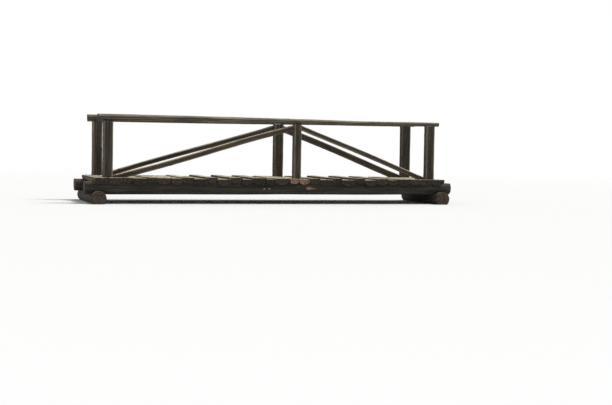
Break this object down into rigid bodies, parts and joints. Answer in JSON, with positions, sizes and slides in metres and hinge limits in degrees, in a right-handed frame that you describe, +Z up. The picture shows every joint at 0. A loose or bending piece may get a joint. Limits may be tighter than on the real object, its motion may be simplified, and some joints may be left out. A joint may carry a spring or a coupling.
{
  "type": "wooden footbridge",
  "caption": "Low log footbridge: half-log deck on two tapered stringers, with king-post trusses as railings on both sides.",
  "frame": {"origin": "on the ground at the middle of the bridge, at the bottom centre of the bounding box", "axes": "+X along the span towards the short half of the truss, +Y across the deck, +Z up"},
  "size_m": [6.7, 1.76, 1.5327],
  "materials": {
    "deck_wood": "weathered half-log planks, worn paler on top",
    "rail_wood": "weathered hewn pole, bleached on top",
    "log_wood": "dark weathered log",
    "post_wood": "dark weathered squared timber"
  },
  "bodies": {
    "root": {"deck_plank_01": "deck_wood", "deck_plank_02": "deck_wood", "deck_plank_03": "deck_wood", "deck_plank_04": "deck_wood", "deck_plank_05": "deck_wood", "deck_plank_06": "deck_wood", "deck_plank_07": "deck_wood", "deck_plank_08": "deck_wood", "deck_plank_09": "deck_wood", "deck_plank_10": "deck_wood", "deck_plank_11": "deck_wood", "deck_plank_12": "deck_wood", "deck_plank_13": "deck_wood", "deck_plank_14": "deck_wood", "deck_plank_15": "deck_wood", "deck_plank_16": "deck_wood", "deck_plank_17": "deck_wood", "deck_plank_18": "deck_wood", "deck_plank_19": "deck_wood", "deck_plank_20": "deck_wood", "deck_plank_21": "deck_wood", "deck_plank_22": "deck_wood", "deck_plank_23": "deck_wood", "deck_plank_24": "deck_wood", "deck_plank_25": "deck_wood", "deck_plank_26": "deck_wood", "deck_plank_27": "deck_wood", "deck_plank_28": "deck_wood", "deck_plank_29": "deck_wood", "deck_plank_30": "deck_wood", "end_post_far_left": "post_wood", "end_post_far_right": "post_wood", "end_post_near_left": "post_wood", "end_post_near_right": "post_wood", "handrail_far": "rail_wood", "handrail_near": "rail_wood", "king_post_far": "post_wood", "king_post_near": "post_wood", "sill_left": "log_wood", "sill_right": "log_wood", "stringer_far": "log_wood", "stringer_near": "log_wood", "strut_far_left": "post_wood", "strut_far_right": "post_wood", "strut_near_left": "post_wood", "strut_near_right": "post_wood"}
  },
  "joints": []
}
